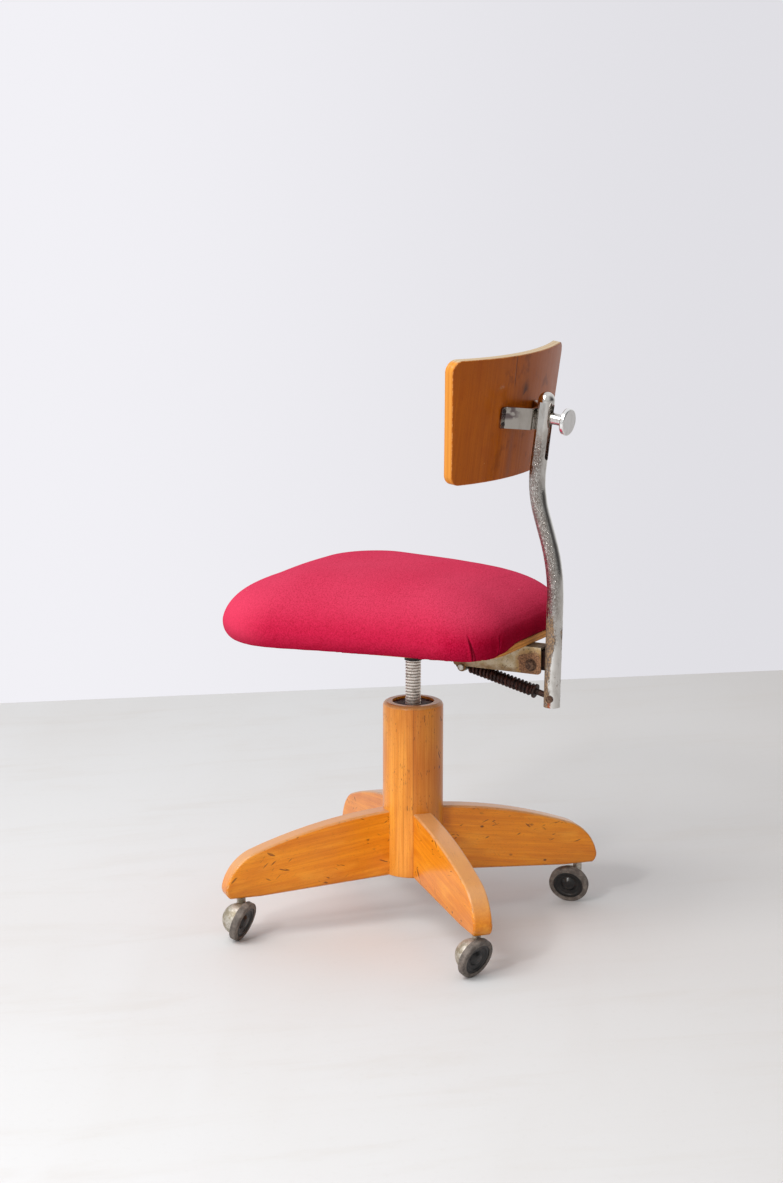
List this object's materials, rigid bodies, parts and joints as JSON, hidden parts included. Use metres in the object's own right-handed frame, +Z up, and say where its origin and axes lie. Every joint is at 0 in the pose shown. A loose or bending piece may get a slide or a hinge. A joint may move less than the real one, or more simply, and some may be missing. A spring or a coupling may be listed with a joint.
{
  "type": "swivel office chair",
  "caption": "Wooden-base swivel office chair: felt-covered seat on a screw spindle, sprung tilting back on a bent tube post, casters.",
  "frame": {"origin": "point on the floor under the axis of the column", "axes": "+Z up along the column, -Y the way the seat faces, +X to the left hand of a sitter"},
  "size_m": [0.4127, 0.4475, 0.775],
  "materials": {
    "varnished_beech": "orange varnished beech, scratched",
    "back_plywood": "varnished bent plywood, pale worn edge",
    "bare_plywood": "bare birch plywood",
    "red_felt": "crimson wool felt with lint",
    "foam": "soft seat foam, hidden under the cover",
    "worn_steel": "worn bare steel",
    "dark_steel": "dark greasy steel",
    "cream_paint": "cream paint, rusty towards the rear",
    "worn_chrome": "worn chrome with rust",
    "bright_screws": "zinc-plated steel",
    "zinc": "stained zinc-plated steel",
    "wheel_plastic": "dark moulded disc",
    "tyre_rubber": "dark worn rubber",
    "black_buffer": "black rubber ring"
  },
  "bodies": {
    "base": {"column": "varnished_beech", "leg_1": "varnished_beech", "leg_2": "varnished_beech", "leg_3": "varnished_beech", "leg_4": "varnished_beech", "caster_sockets": "zinc", "spindle_nut": "dark_steel", "nut_screws": "dark_steel"},
    "seat_lifter": {"buffer_ring": "black_buffer"},
    "seat": {"spindle": "worn_steel", "seat_iron": "dark_steel", "seat_iron_screws": "bright_screws", "seat_board": "bare_plywood", "seat_foam": "foam", "seat_cover": "red_felt", "bracket": "cream_paint", "bracket_screws": "bright_screws", "pivot_bolt": "worn_steel", "pivot_washer": "worn_steel", "pivot_nut": "worn_steel"},
    "trunnion": {"trunnion": "worn_steel"},
    "post": {"post": "worn_chrome", "post_cap": "worn_chrome", "pivot_lug": "dark_steel", "rod_pin": "worn_steel"},
    "rod": {"spring_rod": "dark_steel", "spring_collar": "dark_steel", "rod_nut": "dark_steel", "tilt_spring": "dark_steel"},
    "back": {"backrest": "back_plywood", "back_strap": "worn_chrome", "strap_screws": "dark_steel", "stud": "worn_steel"},
    "knob_washer": {"knob_washer": "worn_steel"},
    "knob": {"knob": "worn_chrome"},
    "caster_1": {"caster_stem_1": "zinc", "caster_hood_1": "zinc", "caster_axle_1": "zinc"},
    "wheel_1": {"wheel_1": "wheel_plastic", "tyre_1": "tyre_rubber"},
    "caster_2": {"caster_stem_2": "zinc", "caster_hood_2": "zinc", "caster_axle_2": "zinc"},
    "wheel_2": {"wheel_2": "wheel_plastic", "tyre_2": "tyre_rubber"},
    "caster_3": {"caster_stem_3": "zinc", "caster_hood_3": "zinc", "caster_axle_3": "zinc"},
    "wheel_3": {"wheel_3": "wheel_plastic", "tyre_3": "tyre_rubber"},
    "caster_4": {"caster_stem_4": "zinc", "caster_hood_4": "zinc", "caster_axle_4": "zinc"},
    "wheel_4": {"wheel_4": "wheel_plastic", "tyre_4": "tyre_rubber"}
  },
  "joints": [
    {"name": "seat_lift", "type": "slide", "parent": "base", "child": "seat_lifter", "axis": [0, 0, 1], "range_m": [-0.0501, 0.0701]},
    {"name": "seat_turn", "type": "hinge", "parent": "seat_lifter", "child": "seat", "pos_m": [0, 0, 0.36], "axis": [0, 0, 1], "range_deg": [-4500, 6300]},
    {"name": "backrest_tilt", "type": "hinge", "parent": "seat", "child": "post", "pos_m": [0, 0.1775, 0.3725], "axis": [-1, 0, 0], "range_deg": [0, 12], "stiffness_Nm_per_rad": 20, "springref_deg": -10.31},
    {"name": "rod_swing", "type": "hinge", "parent": "post", "child": "rod", "pos_m": [0, 0.20307, 0.329], "axis": [-1, 0, 0], "range_deg": [-9.3, 0.2], "deforming": ["tilt_spring"]},
    {"name": "trunnion_swing", "type": "hinge", "parent": "seat", "child": "trunnion", "pos_m": [0, 0.078, 0.359], "axis": [-1, 0, 0], "range_deg": [-0.2, 3.1]},
    {"name": "backrest_height", "type": "slide", "parent": "post", "child": "back", "axis": [0, 0.1219, 0.9925], "range_m": [-0.05, 0.013]},
    {"name": "knob_travel", "type": "slide", "parent": "back", "child": "knob_washer", "axis": [0.061, 0.9907, -0.1216], "range_m": [-0.00001, 0.00376]},
    {"name": "knob_turn", "type": "hinge", "parent": "knob_washer", "child": "knob", "pos_m": [0, 0.18643, 0.6925], "axis": [0.061, 0.9907, -0.1216], "range_deg": [0, 1080]},
    {"name": "caster_swivel_1", "type": "hinge", "parent": "base", "child": "caster_1", "pos_m": [0.16208, 0.17564, 0.0575], "axis": [0, 0, 1], "continuous": true},
    {"name": "wheel_spin_1", "type": "hinge", "parent": "caster_1", "child": "wheel_1", "pos_m": [0.17363, 0.1796, 0.02661], "axis": [0.263, 0.9111, -0.3173], "continuous": true},
    {"name": "caster_swivel_2", "type": "hinge", "parent": "base", "child": "caster_2", "pos_m": [-0.17564, 0.16208, 0.0575], "axis": [0, 0, 1], "continuous": true},
    {"name": "wheel_spin_2", "type": "hinge", "parent": "caster_2", "child": "wheel_2", "pos_m": [-0.16673, 0.15374, 0.02661], "axis": [0.9279, 0.1955, -0.3173], "continuous": true},
    {"name": "caster_swivel_3", "type": "hinge", "parent": "base", "child": "caster_3", "pos_m": [-0.16208, -0.17564, 0.0575], "axis": [0, 0, 1], "continuous": true},
    {"name": "wheel_spin_3", "type": "hinge", "parent": "caster_3", "child": "wheel_3", "pos_m": [-0.14988, -0.17522, 0.02661], "axis": [0.5165, 0.7953, -0.3173], "continuous": true},
    {"name": "caster_swivel_4", "type": "hinge", "parent": "base", "child": "caster_4", "pos_m": [0.17564, -0.16208, 0.0575], "axis": [0, 0, 1], "continuous": true},
    {"name": "wheel_spin_4", "type": "hinge", "parent": "caster_4", "child": "wheel_4", "pos_m": [0.18516, -0.15443, 0.02661], "axis": [-0.0628, 0.9462, -0.3173], "continuous": true}
  ],
  "couplings": [
    {"joint": "seat_lift", "follows": "seat_turn", "m_per_rad": 0.00063662},
    {"joint": "rod_swing", "follows": "backrest_tilt", "ratio": -0.74287},
    {"joint": "trunnion_swing", "follows": "backrest_tilt", "ratio": 0.25713},
    {"joint": "knob_travel", "follows": "knob_turn", "m_per_rad": 0.00019894}
  ]
}
